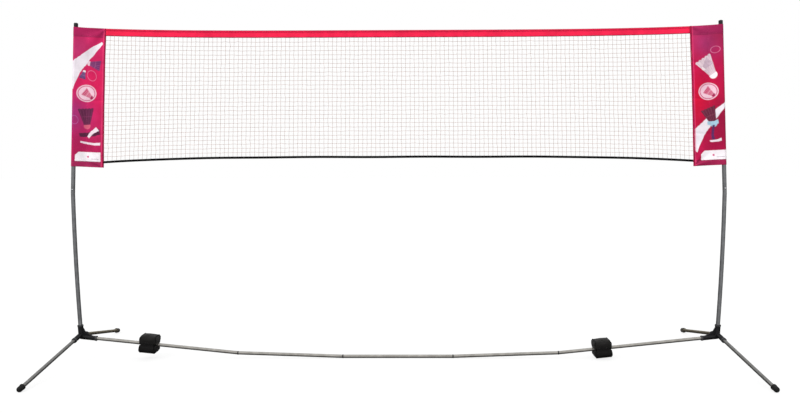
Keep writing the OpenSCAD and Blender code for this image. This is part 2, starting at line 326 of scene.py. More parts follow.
def weave_height(tree, place, pitch):
    """A plain weave: two crossing sets of threads, one thread to each pitch."""
    scale = 1 / (pitch * WAVES_PER_METRE)
    inputs = {"Vector": place, "Scale": scale, "Distortion": 0.4}
    warp = add_node(tree, "ShaderNodeTexWave", inputs, bands_direction="X").outputs["Fac"]
    weft = add_node(tree, "ShaderNodeTexWave", inputs, bands_direction="Y").outputs["Fac"]
    return calculated(tree, "MULTIPLY", warp, weft)


def woven(name, colour, pitch, rough, sheen, bump=0.3, shade=0.75, attribute=None, stripes=None):
    """Cloth whose UV map is in metres, in a plain colour or in those of an attribute of the mesh.

    stripes are pairs of a distance down the cloth and the colour from there on, for borders along it.
    """
    material, tree, shader = new_material(name)
    place = add_node(tree, "ShaderNodeTexCoord").outputs["UV"]
    height = weave_height(tree, place, pitch)
    fuzz = noise(tree, place, 900.0, 3.0)
    soil = noise(tree, place, 14.0, 5.0, 0.6)
    if attribute:
        plain = add_node(tree, "ShaderNodeAttribute", attribute_name=attribute).outputs["Color"]
    elif stripes:
        down = add_node(tree, "ShaderNodeSeparateXYZ", {"Vector": place}).outputs["Y"]
        share = spread(tree, down, 0.0, 1.0, 0.0, stripes[-1][0])
        ramp = add_node(tree, "ShaderNodeValToRGB", {"Fac": share})
        ramp.color_ramp.interpolation = "CONSTANT"
        set_ramp(ramp, [(at / stripes[-1][0], ink(code)) for at, code in stripes])
        plain = ramp.outputs["Color"]
    else:
        plain = rgba(colour)
    # Darker in the weave's hollows: painted shade between the threads.
    threads = spread(tree, height, shade, 1.0)
    lit = mix_colours(tree, 1.0, plain, threads, "MULTIPLY")
    stained = spread(tree, soil, 0.86, 1.06, 0.35, 0.65)
    lit = mix_colours(tree, 1.0, lit, stained, "MULTIPLY")
    connect(tree, shader, {
        "Base Color": lit,
        "Roughness": spread(tree, fuzz, rough * 0.85, rough * 1.15),
        "Sheen Weight": sheen,
        "Sheen Roughness": 0.4,
        "Specular IOR Level": 0.12,
        "Normal": raised(tree, calculated(tree, "MULTIPLY_ADD", fuzz, 0.35, height), bump, 0.3 * MM),
    })
    return material


def paint(material, *names):
    for name in names:
        mesh = NODES[name].data
        mesh.materials.clear()
        mesh.materials.append(material)


def paint_sides(material, *names):
    """Paints the left and the right node of each name."""
    paint(material, *[f"{name}_{side}" for name in names for side in SIDES])


# Grains to a metre along X, Y and Z.
ALONG_X = (10, 900, 900)
ALONG_Y = (900, 10, 900)
ALONG_Z = (900, 900, 10)
EVEN = (900, 900, 900)
FIBROUS = (600, 600, 600)
COARSE = (500, 500, 500)
CAST = (300, 300, 300)
TWISTED = (300, 900, 900)


def steel(name, light, dark, rough, grain, bump=0.08):
    return hard_finish(name, light, dark, rough, grain, metallic=0.95, bump=bump)


def moulded(name, light, dark, rough, bump, patch, worn=None):
    return hard_finish(name, light, dark, rough, EVEN, bump=bump, patch=patch, worn=worn)


def paint_hard_parts():
    """Gives each CAD node that stays visible its material."""
    posts = steel("drawn_steel_posts", "#98999b", "#747577", 0.3, ALONG_Z)
    paint_sides(posts, "upper_post", "lower_post")
    paint_sides(steel("drawn_steel_front_legs", "#969694", "#757472", 0.32, ALONG_Y), "front_leg")
    # Painted reflection: the rear legs are the same grey steel as the front legs, tinted warm beige.
    paint_sides(steel("drawn_steel_rear_legs_painted_reflection", "#c4baa0", "#9a9078", 0.32, ALONG_Y), "rear_leg")
    bar = steel("drawn_steel_bar", "#b8b5af", "#8f8c87", 0.3, ALONG_X)
    paint(bar, "bar_middle")
    paint_sides(bar, "bar_end", "bar_inner")
    paint_sides(steel("spigot_steel", "#a9abad", "#77797b", 0.38, ALONG_Z, 0.1), "post_spigot")
    paint_sides(steel("spring_steel", "#8f9092", "#5f6062", 0.33, ALONG_Z), "button_spring")
    button = hard_finish("button_steel", "#dcdde0", "#b9bbbe", 0.18, EVEN, metallic=0.98, bump=0.04)
    paint_sides(button, "snap_button")
    connector = moulded("moulded_connector", "#151517", "#0b0b0d", 0.42, 0.35, 40.0, "#4a4b4d")
    paint_sides(connector, "base_connector")
    paint_sides(moulded("cap_plastic", "#131416", "#0b0c0d", 0.28, 0.15, 50.0, "#4a4b4d"), "post_cap")
    pin = moulded("pin_plastic", "#25262a", "#141518", 0.4, 0.3, 60.0)
    paint_sides(pin, "bar_pin_outer", "bar_pin_inner")
    rubber = hard_finish(
        "foot_rubber", "#191919", "#0a0a0a", 0.72, COARSE, bump=0.5, patch=60.0, worn="#5b5955"
    )
    paint_sides(rubber, "front_foot", "rear_foot")
    iron = hard_finish("cast_iron", "#5d5955", "#3b3734", 0.65, CAST, metallic=0.6, bump=0.6)
    paint_sides(iron, "weight_upper_core", "weight_lower_core")
    paint(hard_finish("tape_rope", "#e6e2da", "#c9c3b8", 0.8, TWISTED, bump=0.6), "tape_cord")


# ---------- Mesh helpers ----------

def grid_faces(rows, columns, closed=False):
    """Quads over points in rows. A closed grid joins its last column to its first."""
    last = columns if closed else columns - 1
    return [
        (r * columns + c, r * columns + (c + 1) % columns,
         (r + 1) * columns + (c + 1) % columns, (r + 1) * columns + c)
        for r in range(rows - 1)
        for c in range(last)
    ]


def listed(*axes):
    """The coordinates of a grid's points, row after row."""
    return np.stack(np.broadcast_arrays(*axes), axis=2).reshape(-1, len(axes))


def show(name, mesh, material, body, replaces=()):
    """Makes a smooth visible piece of a mesh, and lets it ride on a body."""
    mesh.polygons.foreach_set("use_smooth", [True] * len(mesh.polygons))
    mesh.materials.clear()
    mesh.materials.append(material)
    piece = add_object(name, mesh)
    if body:
        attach(piece, body)
    if replaces:
        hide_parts(*replaces)
    return piece


def thicken(piece, thickness):
    """Gives a sheet its thickness, on the side away from its normals."""
    solid = piece.modifiers.new("thickness", "SOLIDIFY")
    solid.thickness = thickness
    solid.offset = -1


def add_piece(name, points, faces, material, body, uv=None, thickness=0.0, replaces=()):
    """A piece from points and faces, which are turned to look outward. uv gives each point a place."""
    mesh = bpy.data.meshes.new(name)
    mesh.from_pydata(np.asarray(points, float).tolist(), [], faces)
    bm = bmesh.new()
    bm.from_mesh(mesh)
    if bm.calc_volume(signed=True) < 0:
        bmesh.ops.reverse_faces(bm, faces=bm.faces)
    bm.to_mesh(mesh)
    bm.free()
    if uv is not None:
        corners = np.zeros(len(mesh.loops), int)
        mesh.loops.foreach_get("vertex_index", corners)
        layer = mesh.uv_layers.new(name="metres")
        layer.data.foreach_set("uv", np.asarray(uv, np.float32)[corners].ravel())
    piece = show(name, mesh, material, body, replaces)
    if thickness:
        thicken(piece, thickness)
    return piece


def box_uv(mesh):
    """Lays a UV map in metres on each face, square on to the axis that it faces most."""
    layer = mesh.uv_layers.new(name="metres")
    for face in mesh.polygons:
        away = int(np.argmax(np.abs(face.normal)))
        a, b = [axis for axis in range(3) if axis != away]
        for corner in face.loop_indices:
            co = mesh.vertices[mesh.loops[corner].vertex_index].co
            layer.data[corner].uv = (co[a], co[b])


def tube_mesh(path, radius, sides, up, closed=False):
    """Points and faces of a tube along a path. up is a direction across the path."""
    path = np.asarray(path, float)
    if closed:
        ahead = np.roll(path, -1, axis=0) - np.roll(path, 1, axis=0)
    else:
        ahead = np.gradient(path, axis=0)
    ahead /= np.linalg.norm(ahead, axis=1)[:, None]
    across = np.cross(ahead, up)
    across /= np.linalg.norm(across, axis=1)[:, None]
    above = np.cross(across, ahead)
    turns = 2 * math.pi * np.arange(sides) / sides
    rings = path[:, None] + radius * (
        np.cos(turns)[None, :, None] * across[:, None] + np.sin(turns)[None, :, None] * above[:, None]
    )
    faces = grid_faces(len(path), sides, closed=True)
    if closed:
        last = (len(path) - 1) * sides
        faces += [(last + c, last + (c + 1) % sides, (c + 1) % sides, c) for c in range(sides)]
    else:
        faces.append(tuple(range(sides)))
        faces.append(tuple((len(path) - 1) * sides + c for c in range(sides)))
    return rings.reshape(-1, 3), faces


def joined(parts):
    """Several (points, faces) meshes as one."""
    points, faces, start = [], [], 0
    for part_points, part_faces in parts:
        points.append(part_points)
        faces += [tuple(i + start for i in face) for face in part_faces]
        start += len(part_points)
    return np.concatenate(points), faces


STITCH_PITCH = 4.0 * MM
STITCH_LENGTH = 3.0 * MM
STITCH_RADIUS = 0.35 * MM


def resampled(at, run, values):
    """Rows of values, which are known at the distances run, at other distances."""
    return np.stack([np.interp(at, run, values[:, i]) for i in range(3)], axis=1)


def stitch_line(path, outward):
    """A row of thread dashes along a path that lies on cloth. outward is the cloth's normal."""
    path = np.asarray(path, float)
    outward = np.broadcast_to(outward, path.shape)
    run = np.concatenate([[0], np.cumsum(np.linalg.norm(np.diff(path, axis=0), axis=1))])
    at = np.arange(STITCH_PITCH, run[-1] - STITCH_PITCH, STITCH_PITCH)
    centre = resampled(at, run, path)
    normal = resampled(at, run, outward)
    ahead = resampled(at + MM, run, path) - centre
    ahead /= np.linalg.norm(ahead, axis=1)[:, None]
    beside = np.cross(ahead, normal)
    points = np.stack([
        centre - ahead * STITCH_LENGTH / 2,
        centre + ahead * STITCH_LENGTH / 2,
        centre + normal * STITCH_RADIUS,
        centre - normal * STITCH_RADIUS,
        centre + beside * STITCH_RADIUS,
        centre - beside * STITCH_RADIUS,
    ], axis=1).reshape(-1, 3)
    one = [(0, 2, 4), (0, 4, 3), (0, 3, 5), (0, 5, 2), (1, 4, 2), (1, 3, 4), (1, 5, 3), (1, 2, 5)]
    faces = [tuple(6 * k + i for i in face) for k in range(len(at)) for face in one]
    return points, faces


def add_stitching(name, lines, thread):
    points, faces = joined(lines)
    return add_piece(name, points, faces, thread, "net")


# ---------- The net's outline ----------

CURVE_POWER = 4               # how sharply the tape and the cord bend towards the sleeves
tape_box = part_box("top_tape")
mesh_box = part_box("net_mesh")
cord_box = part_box("bottom_cord")
tape_low = tape_box[0].z
top_rise = mesh_box[1].z - tape_low
tape_height = tape_box[1].z - mesh_box[1].z
band_height = mesh_box[0].z - cord_box[0].z
bottom_drop = cord_box[1].z - mesh_box[0].z
post_low, post_high = tube_ends("upper_post_right")
post_slope = (post_low[0] - post_high[0]) / (post_high[2] - post_low[2])


def edge_x(z):
    """X of the right sleeve's inner edge at height z."""
    return tape_box[1].x + (mesh_box[1].z - z) * post_slope


def tape_edge(t):
    """Height of the tape's lower edge, where t runs from -1 to 1 between the sleeves."""
    return tape_low + top_rise * np.abs(t) ** CURVE_POWER


def cord_edge(t):
    """Height of the bottom cord's upper edge."""
    return cord_box[1].z - bottom_drop * np.abs(t) ** CURVE_POWER


CELL = 20 * MM
TWINE_RADIUS = 0.64 * MM
KNOT_RADIUS = 1.3 * MM
TUCK = 3 * MM                 # how far the twine runs into the tape, the cord and the sleeves
NET_SAG = 2 * MM
KNOT_STRAY = 0.7 * MM         # how far a knot strays within the net


def make_net():
    """Square netting: every twine is a tube through the knots, and every knot a small bead."""
    rows = round((tape_low - cord_box[1].z) / CELL)
    columns = 2 * round(edge_x(tape_low) / CELL)
    t, share = np.meshgrid(np.linspace(-1, 1, columns + 1), np.linspace(0, 1, rows + 1))
    z = tape_edge(t) + share * (cord_edge(t) - tape_edge(t))
    x = t * edge_x(z)
    y = np.zeros_like(x)
    inner = (share > 0) & (share < 1) & (np.abs(t) < 1)
    x += inner * random.normal(0, KNOT_STRAY, x.shape)
    z += inner * (random.normal(0, KNOT_STRAY, x.shape) - NET_SAG * np.sin(math.pi * share))
    y += inner * (NET_SAG * np.sin(9 * t + 3 * share) + random.normal(0, 0.4 * MM, x.shape))
    knots = np.stack([x, y, z], axis=2)
    knots[0, :, 2] += TUCK
    knots[-1, :, 2] -= TUCK
    knots[:, 0, 0] -= TUCK
    knots[:, -1, 0] += TUCK
    parts = [tube_mesh(knots[:, c], TWINE_RADIUS, 5, (0, 1, 0)) for c in range(columns + 1)]
    parts += [tube_mesh(knots[r], TWINE_RADIUS, 5, (0, 1, 0)) for r in range(1, rows)]
    bead = bmesh.new()
    bmesh.ops.create_icosphere(bead, subdivisions=1, radius=KNOT_RADIUS)
    ball = np.array([v.co for v in bead.verts])
    ball_faces = [tuple(v.index for v in f.verts) for f in bead.faces]
    bead.free()
    parts += [(ball + knots[r, c], ball_faces) for r in range(1, rows) for c in range(columns + 1)]
    twine = hard_finish("knotted_twine", "#b8998d", "#927267", 0.8, FIBROUS, bump=0.7, patch=25.0)
    points, faces = joined(parts)
    add_piece("net_twine", points, faces, twine, "net", replaces=["net_mesh"])


# ---------- Top tape and bottom cord ----------

TAPE_FOLD_HALF = 4.6 * MM     # half the height of the fold round the cord
TAPE_FOLD_DEPTH = 3.7 * MM    # half its depth
TAPE_HALF = 1.3 * MM          # half the thickness of the folded tape below its cord
TAPE_CLOTH = 0.8 * MM
TAPE_STEP = 6 * MM


def tape_section(height):
    """The folded tape from its front edge over the cord to its back edge, as (y, z below the top)."""
    turns = np.radians(np.arange(-60, 241, 20))
    over = [(-TAPE_FOLD_DEPTH * math.cos(a), TAPE_FOLD_HALF * (1 - math.sin(a))) for a in turns]
    below = 2.3 * TAPE_FOLD_HALF
    downs = [(TAPE_HALF, below + (height - below) * k / 7) for k in range(8)]
    front = [(-y, z) for y, z in reversed(downs)]
    return np.array(front + over + downs)


def tape_ripple(x, down, height):
    """The tape cockles a little between the stitches, most at its lower edge."""
    slack = (down / height) ** 1.5
    return slack * (0.9 * MM * np.sin(x / 0.021 + 2 * np.sin(x / 0.13)) + 0.6 * MM * np.sin(x / 0.0083))


def make_tape():
    section = tape_section(tape_height)
    columns = len(section)
    count = round(2 * edge_x(tape_low) / TAPE_STEP)
    t = np.linspace(-1, 1, count)
    top = tape_edge(t) + tape_height
    z = top[:, None] - section[None, :, 1]
    x = t[:, None] * edge_x(z)
    y = section[None, :, 0] + tape_ripple(x, section[None, :, 1], tape_height)
    points = listed(x, y, z)
    uv = listed(x, section[None, :, 1])
    low_border = tape_height - 3 * MM
    # The darkest band, over the top 3.4 mm of the fold, is partly the tape's darker edge and partly painted
    # shade on the fold's upward face.
    stripes = [(0.0, "#a00f3a"), (3.4 * MM, "#f8234f"), (low_border, "#c21440"), (tape_height, "#c21440")]
    cloth = woven("tape_cloth", None, 0.9 * MM, 0.5, 0.15, 0.35, 0.85, stripes=stripes)
    faces = grid_faces(count, columns)
    tape = add_piece("tape_folded", points, faces, cloth, "net", uv, TAPE_CLOTH, ["top_tape"])
    lines = []
    thread = hard_finish("tape_thread", "#e0527a", "#b92a55", 0.6, EVEN, bump=0.4)
    for down in (2.5 * TAPE_FOLD_HALF, tape_height - 4.5 * MM):
        for face in (-1, 1):
            line_z = top - down
            line_x = t * edge_x(line_z)
            line_y = face * (TAPE_HALF + 0.1 * MM) + tape_ripple(line_x, down, tape_height)
            path = np.stack([line_x, line_y, line_z], axis=1)
            lines.append(stitch_line(path, (0, face, 0)))
    stitching = add_stitching("tape_stitching", lines, thread)


CORD_SIDES = 12
COVER_FULL = 1.2              # the cover stands this much higher than the cord's own height
COVER_HALF_DEPTH = 2.9 * MM


def make_bottom_cord():
    """A black cord in a flat woven cover, with a few slack waves."""
    count = round(2 * edge_x(cord_edge(0)) / TAPE_STEP)
    t = np.linspace(-1, 1, count)
    z = cord_edge(t) - band_height / 2 + 0.7 * MM * np.sin(17 * t) * (1 - t * t)
    path = np.stack([t * edge_x(z), 1.2 * MM * np.sin(11 * t) * (1 - t * t), z], axis=1)
    turns = 2 * math.pi * np.arange(CORD_SIDES) / CORD_SIDES
    rings = path[:, None] + np.stack([
        np.zeros(CORD_SIDES),
        COVER_HALF_DEPTH * np.cos(turns),
        COVER_FULL * band_height / 2 * np.sign(np.sin(turns)) * np.abs(np.sin(turns)) ** 0.8,
    ], axis=1)[None]
    faces = grid_faces(count, CORD_SIDES, closed=True)
    faces += [tuple(range(CORD_SIDES)), tuple((count - 1) * CORD_SIDES + c for c in range(CORD_SIDES))]
    uv = listed(path[:, :1], (band_height * turns / math.pi)[None])
    cover = woven("cord_cover", "#0b0b0c", 1.4 * MM, 0.7, 0.03, 0.8, 0.5)
    points = rings.reshape(-1, 3)
    add_piece("cord_cover", points, faces, cover, "net", uv, replaces=["bottom_cord"])


# ---------- Sleeve print: generic shapes, with no lettering and no figures ----------

PRINT_EDGE = 2 * MM           # how far an edge of the print fades
RING_LINE = 1.4 * MM


def inside(distance):
    """1 within a shape and 0 outside it, from the distance to its edge."""
    return np.clip(0.5 - distance / PRINT_EDGE, 0, 1)


class Print:
    """A colour for each of many points, laid down shape by shape. s runs across and v down, in metres."""

    def __init__(self, s, v, base):
        self.s = s
        self.v = v
        self.colour = np.broadcast_to(ink(base), (len(s), 3)).copy()

    def lay(self, mask, code, strength=1.0):
        self.colour += (strength * mask)[:, None] * (ink(code) - self.colour)

    def turned(self, centre, degrees):
        """Coordinates from a centre, along and across a direction that turns clockwise from the right."""
        a = math.radians(degrees)
        x, y = self.s - centre[0], self.v - centre[1]
        return x * math.cos(a) + y * math.sin(a), y * math.cos(a) - x * math.sin(a)

    def haze(self, centre, radius, code, strength):
        away = (self.s - centre[0]) ** 2 + (self.v - centre[1]) ** 2
        self.lay(np.exp(-away / radius ** 2), code, strength)

    def stroke(self, start, end, bow, first, last, code):
        """A bowed brush stroke that widens from half width first to last, with ragged edges."""
        length = math.dist(start, end)
        degrees = math.degrees(math.atan2(end[1] - start[1], end[0] - start[0]))
        along, across = self.turned(start, degrees)
        t = along / length
        edge = np.sign(across)
        ragged = 2.2 * MM * np.sin(9 * t + edge) + 1.7 * MM * np.sin(23 * t + 3 * np.sin(5 * t + edge))
        ragged += 0.9 * MM * np.sin(57 * t + 4 * np.sin(11 * t) + edge)
        ragged *= np.clip((first + last) / (40 * MM), 0, 1)
        half = first + (last - first) * np.clip(t, 0, 1) + ragged * (0.3 + 0.7 * t)
        middle = bow * 4 * t * (1 - t)
        self.lay(inside(np.abs(across - middle) - half) * inside(-along) * inside(along - length), code)

    def ring(self, centre, radii, degrees, code, strength=1.0):
        """A thin ellipse, with the first of its radii along degrees."""
        along, across = self.turned(centre, degrees)
        away = (np.hypot(along / radii[0], across / radii[1]) - 1) * min(radii)
        self.lay(inside(np.abs(away) - RING_LINE / 2), code, strength)

    def shuttle(self, centre, size, degrees, feather, cork_code, rib_code):
        """A plain shuttlecock, from its cork at centre to its open end along degrees."""
        along, across = self.turned(centre, degrees)
        x, y = along / size, across / size
        half = 0.17 + 0.3 * np.clip(x, 0, 1)
        scallop = 0.05 * np.abs(np.cos(2.5 * math.pi * y / half))
        skirt = inside(size * np.maximum.reduce([np.abs(y) - half, -x, x - 0.86 - scallop]))
        from_rib = size * np.abs((2.5 * y / half + 0.5) % 1 - 0.5) * half / 2.5
        from_band = size * np.abs(x - 0.45)
        self.lay(skirt, feather)
        self.lay(skirt * np.maximum(inside(from_rib - 0.7 * MM), inside(from_band - 1.2 * MM)), rib_code, 0.7)
        self.lay(inside(size * (np.hypot(x + 0.05, y) - 0.19)) * inside(along), cork_code)

    def emblem(self, centre):
        """A plain round badge with a shuttlecock in a ring."""
        away = np.hypot((self.s - centre[0]) / 1.15, self.v - centre[1])
        self.lay(inside(away - 40 * MM), "#efc7d6")
        self.lay(inside(np.abs(away - 34 * MM) - 1.6 * MM), "#c93a6c")
        cork = (centre[0] + 20 * MM, centre[1] + 16 * MM)
        self.shuttle(cork, 46 * MM, 218, "#c23a66", "#a02450", "#efc7d6")

    def label(self, left, right):
        """A blank white strip with one corner cut off, a small round mark and a grey rule."""
        s, v = self.s, self.v
        top, bottom = 580 * MM, 624 * MM
        cut = (left - s) + (top - v) + 16 * MM
        box = np.maximum.reduce([left - s, s - right, top - v, v - bottom, cut / math.sqrt(2)])
        self.lay(inside(box), "#f3ecf1")
        middle = (left + right) / 2
        self.lay(inside(np.hypot(s - middle, v - 602 * MM) - 5 * MM), "#d05a84")
        rule = np.maximum(np.abs(s - middle - 32 * MM) - 18 * MM, np.abs(v - 612 * MM) - 1.2 * MM)
        self.lay(inside(rule), "#a99aa6")


def left_print(s, v):
    art = Print(s, v, "#cb1e5c")
    art.lay(step(0.3, 0.62, v), "#ac1d53", 0.8)
    art.haze((0.11, 0.3), 0.12, "#dc1c58", 0.9)
    art.haze((0.0, 0.4), 0.09, "#7a3a86", 0.55)
    art.haze((0.02, 0.1), 0.07, "#b04078", 0.5)
    art.stroke((0.14, 0.068), (-0.03, 0.255), 0.012, 0.006, 0.045, "#efe6ee")
    art.ring((0.092, 0.222), (0.025, 0.02), 60, "#e58ab0")
    art.ring((0.016, 0.43), (0.02, 0.017), 70, "#c77ac0", 0.8)
    art.shuttle((0.082, 0.166), 0.056, 10, "#6d2d66", "#e9c9d6", "#b96a98")
    art.shuttle((0.056, 0.206), 0.036, 105, "#553064", "#efe6ee", "#a077a8")
    art.emblem((0.07, 0.305))
    art.shuttle((0.074, 0.452), 0.085, 265, "#5f2446", "#d9607c", "#8d3d66")
    art.stroke((0.04, 0.5), (0.135, 0.482), 0.006, 0.009, 0.012, "#57233f")
    art.stroke((0.08, 0.51), (0.125, 0.47), -0.004, 0.006, 0.01, "#f0dfe8")
    art.stroke((0.045, 0.532), (0.138, 0.54), 0.004, 0.004, 0.006, "#f0dfe8")
    art.label(0.022, 0.14)
    return art


def right_print(s, v):
    art = Print(s, v, "#b51149")
    art.haze((0.03, 0.02), 0.1, "#d4336c", 0.8)
    art.haze((0.08, 0.08), 0.06, "#8a3c80", 0.5)
    art.haze((0.0, 0.36), 0.14, "#dd0a38", 1.0)
    art.haze((0.16, 0.45), 0.14, "#900f3a", 0.9)
    art.haze((0.14, 0.04), 0.09, "#992049", 0.7)
    art.stroke((0.158, 0.362), (-0.012, 0.56), 0.01, 0.007, 0.036, "#ece4ec")
    art.ring((0.112, 0.114), (0.021, 0.015), 170, "#e58ab0")
    art.shuttle((0.098, 0.225), 0.096, 238, "#dcc6cf", "#f1e9ee", "#b98ea0")
    art.shuttle((0.058, 0.196), 0.05, 310, "#cbb4c2", "#efe2e4", "#a8879b")
    art.emblem((0.076, 0.305))
    art.shuttle((0.096, 0.452), 0.082, 250, "#63243c", "#9ec3da", "#8f4a5e")
    art.stroke((0.068, 0.452), (0.118, 0.446), 0.004, 0.008, 0.009, "#a8cbe0")
    art.stroke((0.098, 0.462), (0.094, 0.53), 0.004, 0.005, 0.007, "#5b2a5e")
    art.stroke((0.078, 0.536), (0.13, 0.53), 0.003, 0.004, 0.006, "#f0e2ea")
    art.label(0.036, 0.15)
    return art


PRINTS = {"left": left_print, "right": right_print}


# ---------- Sleeves ----------

SLEEVE_STEP = 1.5 * MM
SLEEVE_CLOTH = 0.7 * MM
POCKET_SHIFT = 1 * MM         # the pocket's centre lies a little inward of the post
POCKET_TAIL = 60 * MM         # where the two layers meet
POCKET_ANGLE = math.radians(80)            # where the layers leave the pocket's round
PANEL_HALF = 1.2 * MM
TOP_HEM = 42 * MM
BOTTOM_HEM = 26 * MM
SEAM_IN = 4 * MM              # from a hem's edge to its stitches
BINDING_WIDTH = 6 * MM


class Sleeve:
    """One sleeve's own axes: u inward from the post, v down it, and Y across."""

    def __init__(self, side):
        self.side = side
        self.node = f"sleeve_{side}"
        low, high = tube_ends(f"upper_post_{side}")
        self.origin = high
        self.down = unit(low - high)
        self.inward = unit(np.cross(BACK, self.down)) * SIDES[side]
        self.height = reach(self.node, high, self.down)[1]
        outer, self.width = reach(self.node, high, self.inward)
        self.radius = POCKET_SHIFT - outer
        self.phase = 0.0 if side == "left" else 2.1

    def folds(self, u, v):
        """Out-of-plane waves: folds that fan out from the pulled corners, and long slack ones."""
        loose = step(0.014, 0.07, u)
        total = 1.1 * MM * np.sin(u / 0.017 + 1.6 * np.sin(v / 0.11 + self.phase))
        total += 1.1 * MM * np.sin(v / 0.034 + 2.2 * np.sin(u / 0.05 + self.phase)) * bell(v - 0.3, 0.35)
        for corner_v, sweep, height in ((self.height, 9, 3.4 * MM), (0.0, 7, 3.2 * MM)):
            away_u = self.width - u
            away_v = np.abs(corner_v - v)
            distance = np.hypot(away_u, away_v)
            fan = np.sin(sweep * np.arctan2(away_v, away_u + 1e-6) + self.phase)
            total += height * fan * (distance / 0.06) * np.exp(1 - distance / 0.06) / 2
        for share in (0.26, 0.52, 0.77):
            crease = v - share * self.height - 0.004 * np.sin(u / 0.03)
            total += 0.9 * MM * bell(crease, 0.006)
        return loose * total

    def half_depth(self, u):
        """Half the distance between the two layers at a point u from the post."""
        start = POCKET_SHIFT + self.radius * math.cos(POCKET_ANGLE)
        open_half = self.radius * math.sin(POCKET_ANGLE)
        t = np.clip((u - start) / (POCKET_TAIL - start), 0, 1)
        return PANEL_HALF + (open_half - PANEL_HALF) * (1 - t) ** 1.15

    def hem(self, v):
        """Cloth stands out where it is doubled, and is pulled in at the stitch lines."""
        low_hem = v - self.height + BOTTOM_HEM
        doubled = step(TOP_HEM, TOP_HEM - 3 * MM, v) + step(-3 * MM, 0, low_hem)
        seams = bell(v - TOP_HEM + SEAM_IN, 2 * MM) + bell(low_hem - SEAM_IN, 2 * MM)
        return 0.5 * MM * (doubled - seams)

    def place(self, u, v, y):
        """Points in space. The panel's inner edge is drawn in a little between its corners."""
        middle = np.sin(math.pi * np.clip(v / self.height, 0, 1))
        pulled = u - 2.5 * MM * middle * np.clip(u / self.width, 0, 1) ** 2
        return (
            self.origin
            + np.multiply.outer(pulled, self.inward)
            + np.multiply.outer(v, self.down)
            + np.multiply.outer(y, BACK)
        )

    def on_panel(self, u, v, face, lift=0.0):
        """Points on the front layer, where face is -1, or on the back one, where it is 1."""
        u, v = np.broadcast_arrays(np.asarray(u, float), np.asarray(v, float))
        y = face * (self.half_depth(u) + self.hem(v) + lift) + self.folds(u, v)
        return self.place(u, v, y)

    def loop(self):
        """The section as u and y, from the inner edge round the post and back."""
        flat_end = POCKET_SHIFT + self.radius * math.cos(POCKET_ANGLE)
        flat = np.arange(self.width - PANEL_HALF, flat_end, -SLEEVE_STEP)
        arc = np.radians(np.linspace(280, 80, round(3.49 * self.radius / SLEEVE_STEP)))
        arc_u = POCKET_SHIFT + self.radius * np.cos(arc)
        arc_y = self.radius * np.sin(arc)
        u = np.concatenate([[self.width], flat, arc_u, flat[::-1]])
        y = np.concatenate([[0.0], -self.half_depth(flat), arc_y, self.half_depth(flat[::-1])])
        return u, y

    def art(self, u, v):
        """The print's colour at u and v, seen from the front, with painted shade over its hems and along
        their edges, and a lighter painted band near its inner edge.
        """
        across = u + self.radius if self.side == "left" else self.width - u
        low_hem = v - self.height + BOTTOM_HEM
        art = PRINTS[self.side](across, v)
        # Painted shade: the top hem is darkened, with a darker line along its edge.
        art.lay(step(TOP_HEM + 1 * MM, TOP_HEM - 1 * MM, v), "#8d1d52", 0.5)
        art.lay(bell(v - TOP_HEM, 1.5 * MM), "#7a1c40", 0.6)
        # Painted shade: the bottom hem is darkened, with a darker line along its edge.
        art.lay(step(-1 * MM, 1 * MM, low_hem), "#8a2a52", 0.5)
        art.lay(bell(low_hem, 1.5 * MM), "#6d1c3c", 0.6)
        # Painted highlight: a lighter band along the inner edge, inward of the binding.
        art.lay(step(self.width - 14 * MM, self.width - 11 * MM, u), "#e83f74", 0.7)
        return art.colour


def make_binding(sleeve, rows, cloth):
    """A binding folded over the inner edge, where the net is sewn in."""
    inward = [-BINDING_WIDTH, -BINDING_WIDTH / 2, -1 * MM]
    fold_u = sleeve.width + np.array([*inward, 1 * MM, *reversed(inward)])
    fold_y = np.array([-1, -1, -1, 0, 1, 1, 1]) * (PANEL_HALF + 0.9 * MM)
    u, v = np.meshgrid(fold_u, np.linspace(0, sleeve.height, rows))
    y = fold_y + np.sign(fold_y) * sleeve.hem(v) + sleeve.folds(u, v)
    points = sleeve.place(u, v, y).reshape(-1, 3)
    uv = listed(np.arange(len(fold_u))[None] * 4 * MM, v)
    faces = grid_faces(rows, len(fold_u))
    name = f"sleeve_binding_{sleeve.side}"
    return add_piece(name, points, faces, cloth, "net", uv, 0.7 * MM)


def stitch_sleeve(sleeve, thread):
    """Thread along the hems, the pocket seam and the binding, on both faces."""
    across = np.arange(0.02, sleeve.width - BINDING_WIDTH, 2 * MM)
    down = np.arange(4 * MM, sleeve.height - 4 * MM, 2 * MM)
    lines = []
    for face in (-1, 1):
        outward = face * BACK
        for hem_v in (TOP_HEM - SEAM_IN, sleeve.height - BOTTOM_HEM + SEAM_IN):
            lines.append(stitch_line(sleeve.on_panel(across, hem_v, face, 0.1 * MM), outward))
        lines.append(stitch_line(sleeve.on_panel(POCKET_TAIL, down, face, 0.1 * MM), outward))
        lines.append(stitch_line(sleeve.on_panel(sleeve.width - 5 * MM, down, face, 1.1 * MM), outward))
    return add_stitching(f"sleeve_stitching_{sleeve.side}", lines, thread)


